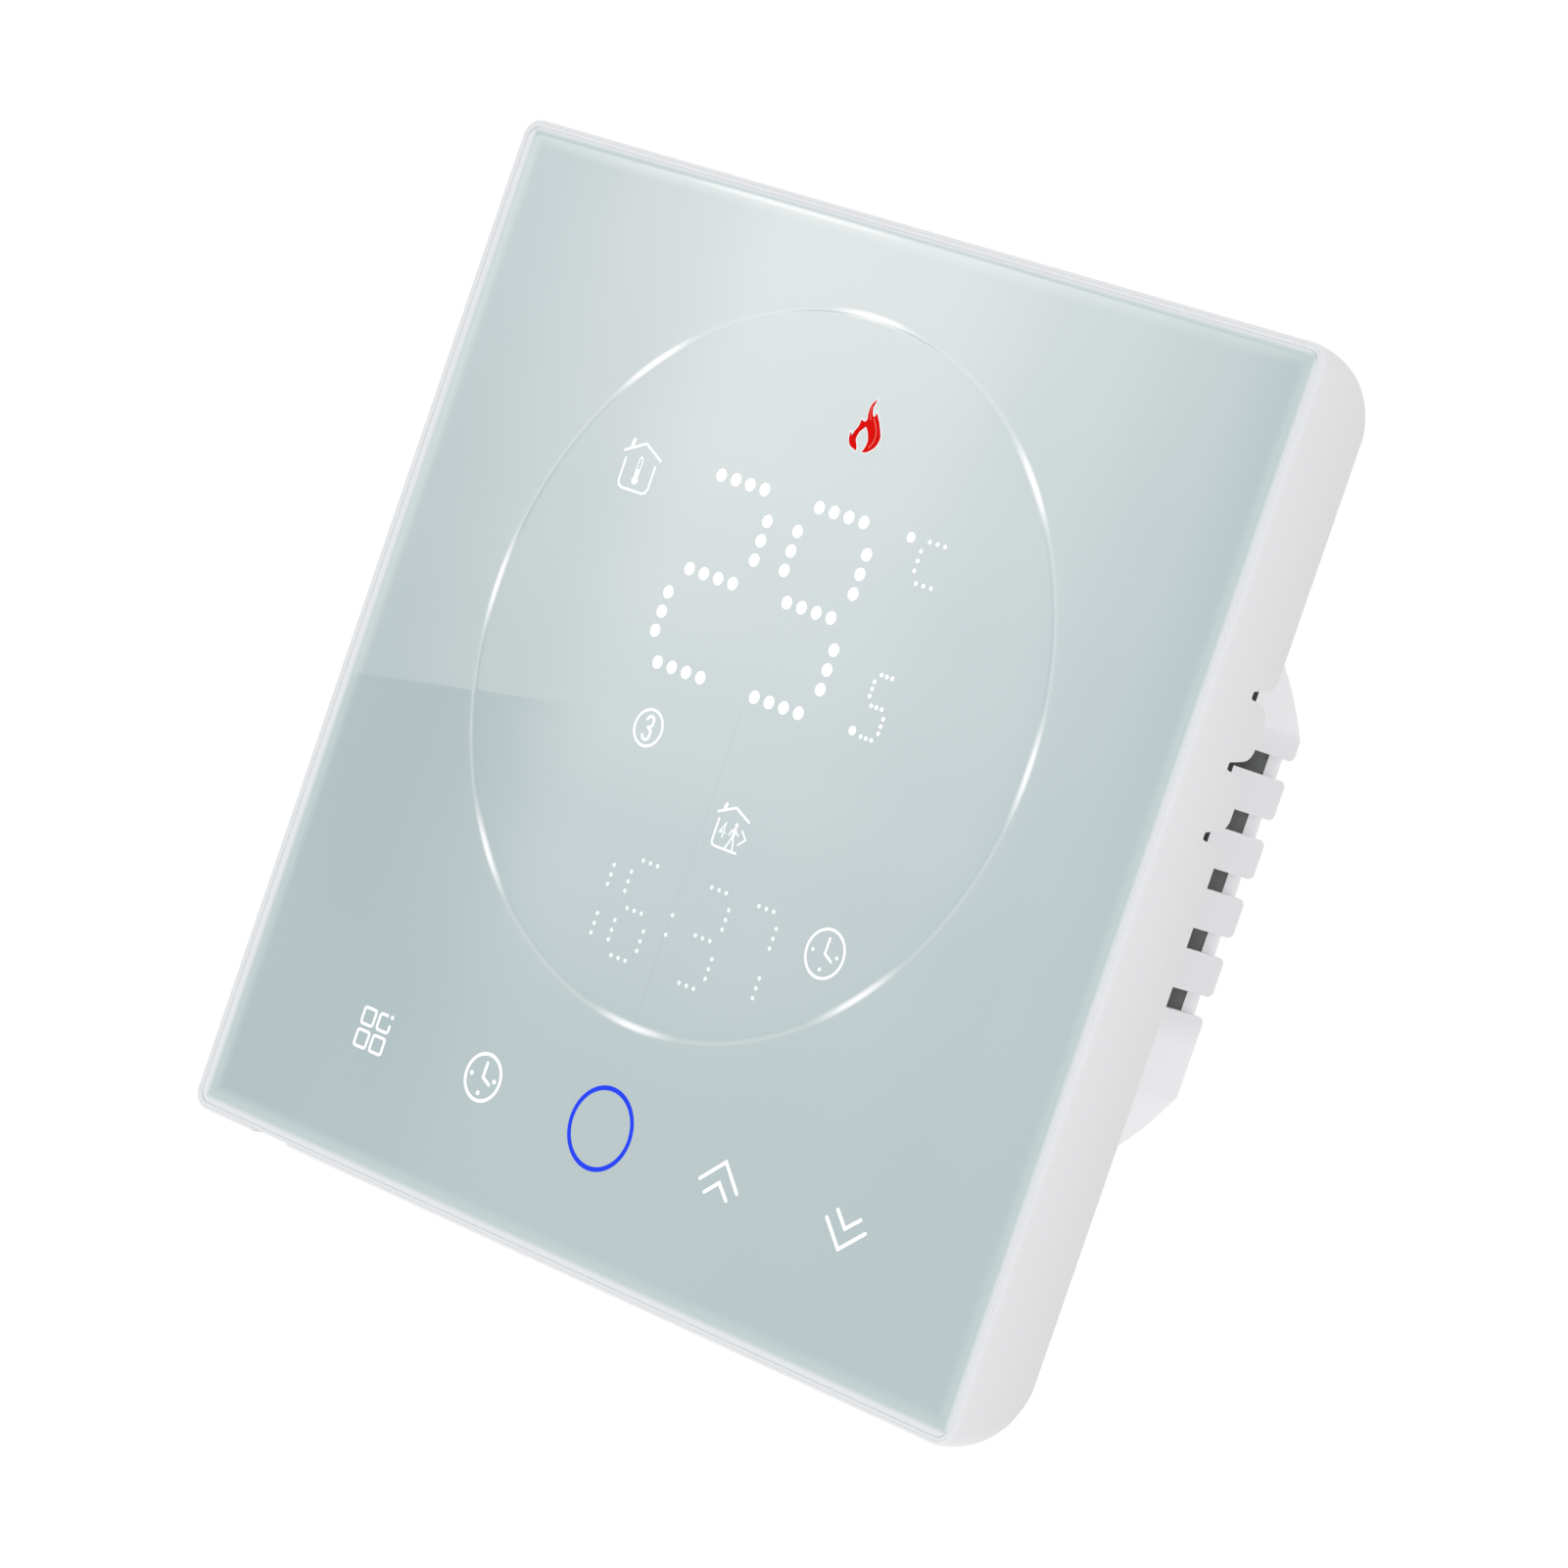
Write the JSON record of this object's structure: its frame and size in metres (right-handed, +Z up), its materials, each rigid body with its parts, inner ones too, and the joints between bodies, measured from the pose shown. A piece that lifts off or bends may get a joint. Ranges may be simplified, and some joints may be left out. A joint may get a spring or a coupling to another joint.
{
  "type": "wall thermostat",
  "caption": "Square touch-glass wall thermostat with lit figures, curved white housing, steel wall plate and round vented rear box with screw terminals.",
  "frame": {"origin": "centre of the square face, in the plane of the wall", "axes": "+Z up, +Y into the wall, the glass faces -Y, +X to the right seen from the room"},
  "size_m": [0.086, 0.0356, 0.086],
  "materials": {
    "white_plastic": "fine satin moulding",
    "tinted_glass": "polished, pale grey-green print behind",
    "steel": "zinc plated",
    "brass": "bright",
    "circuit_board": "green solder resist",
    "black_plastic": "moulded",
    "adhesive": "foam tape",
    "film": "frosted",
    "blue_plastic": "moulded",
    "green_plastic": "moulded",
    "ferrite": "sintered",
    "copper": "enamelled wire under tape",
    "sleeve": "shrink sleeve"
  },
  "bodies": {
    "base": {"mounting_plate": "steel", "rear_box": "white_plastic", "box_screw_1": "steel", "box_screw_2": "steel", "box_screw_3": "steel", "box_screw_4": "steel", "power_board": "circuit_board", "board_screw_1": "steel", "board_screw_2": "steel", "board_socket": "black_plastic", "relay": "blue_plastic", "transformer_core": "ferrite", "transformer_winding": "copper", "mains_capacitor": "sleeve", "output_capacitor": "sleeve", "varistor": "blue_plastic", "fuse": "black_plastic", "terminal_block": "green_plastic"},
    "front": {"front_housing": "white_plastic", "glass_panel": "tinted_glass", "panel_adhesive": "adhesive", "diffuser_film": "film", "light_mask": "black_plastic", "display_board": "circuit_board", "touch_spring_menu": "steel", "touch_spring_clock": "steel", "touch_spring_power": "steel", "touch_spring_up": "steel", "touch_spring_down": "steel", "inner_cover": "white_plastic", "front_screw_1": "steel", "front_screw_2": "steel", "front_screw_3": "steel", "front_screw_4": "steel", "microcontroller": "black_plastic", "touch_controller": "black_plastic", "clock_crystal": "steel", "cell_holder": "black_plastic", "backup_cell": "steel", "air_sensor": "black_plastic", "header_pins": "brass"},
    "screw_1": {"terminal_screw_1": "steel"},
    "clamp_1": {"wire_clamp_1": "brass"},
    "screw_2": {"terminal_screw_2": "steel"},
    "clamp_2": {"wire_clamp_2": "brass"},
    "screw_3": {"terminal_screw_3": "steel"},
    "clamp_3": {"wire_clamp_3": "brass"},
    "screw_4": {"terminal_screw_4": "steel"},
    "clamp_4": {"wire_clamp_4": "brass"},
    "screw_5": {"terminal_screw_5": "steel"},
    "clamp_5": {"wire_clamp_5": "brass"},
    "screw_6": {"terminal_screw_6": "steel"},
    "clamp_6": {"wire_clamp_6": "brass"}
  },
  "joints": [
    {"name": "front_release", "type": "slide", "parent": "base", "child": "front", "axis": [0, -1, 0], "range_m": [0, 0.06]},
    {"name": "terminal_screw_1_turn", "type": "hinge", "parent": "base", "child": "screw_1", "pos_m": [-0.0127, 0.0193, -0.017], "axis": [0, -1, 0], "range_deg": [0, 1440]},
    {"name": "wire_clamp_1_rise", "type": "slide", "parent": "base", "child": "clamp_1", "axis": [0, 1, 0], "range_m": [0, 0.002]},
    {"name": "terminal_screw_2_turn", "type": "hinge", "parent": "base", "child": "screw_2", "pos_m": [-0.00762, 0.0193, -0.017], "axis": [0, -1, 0], "range_deg": [0, 1440]},
    {"name": "wire_clamp_2_rise", "type": "slide", "parent": "base", "child": "clamp_2", "axis": [0, 1, 0], "range_m": [0, 0.002]},
    {"name": "terminal_screw_3_turn", "type": "hinge", "parent": "base", "child": "screw_3", "pos_m": [-0.00254, 0.0193, -0.017], "axis": [0, -1, 0], "range_deg": [0, 1440]},
    {"name": "wire_clamp_3_rise", "type": "slide", "parent": "base", "child": "clamp_3", "axis": [0, 1, 0], "range_m": [0, 0.002]},
    {"name": "terminal_screw_4_turn", "type": "hinge", "parent": "base", "child": "screw_4", "pos_m": [0.00254, 0.0193, -0.017], "axis": [0, -1, 0], "range_deg": [0, 1440]},
    {"name": "wire_clamp_4_rise", "type": "slide", "parent": "base", "child": "clamp_4", "axis": [0, 1, 0], "range_m": [0, 0.002]},
    {"name": "terminal_screw_5_turn", "type": "hinge", "parent": "base", "child": "screw_5", "pos_m": [0.00762, 0.0193, -0.017], "axis": [0, -1, 0], "range_deg": [0, 1440]},
    {"name": "wire_clamp_5_rise", "type": "slide", "parent": "base", "child": "clamp_5", "axis": [0, 1, 0], "range_m": [0, 0.002]},
    {"name": "terminal_screw_6_turn", "type": "hinge", "parent": "base", "child": "screw_6", "pos_m": [0.0127, 0.0193, -0.017], "axis": [0, -1, 0], "range_deg": [0, 1440]},
    {"name": "wire_clamp_6_rise", "type": "slide", "parent": "base", "child": "clamp_6", "axis": [0, 1, 0], "range_m": [0, 0.002]}
  ],
  "couplings": [
    {"joint": "terminal_screw_1_turn", "follows": "wire_clamp_1_rise", "rad_per_m": 12566},
    {"joint": "terminal_screw_2_turn", "follows": "wire_clamp_2_rise", "rad_per_m": 12566},
    {"joint": "terminal_screw_3_turn", "follows": "wire_clamp_3_rise", "rad_per_m": 12566},
    {"joint": "terminal_screw_4_turn", "follows": "wire_clamp_4_rise", "rad_per_m": 12566},
    {"joint": "terminal_screw_5_turn", "follows": "wire_clamp_5_rise", "rad_per_m": 12566},
    {"joint": "terminal_screw_6_turn", "follows": "wire_clamp_6_rise", "rad_per_m": 12566}
  ]
}
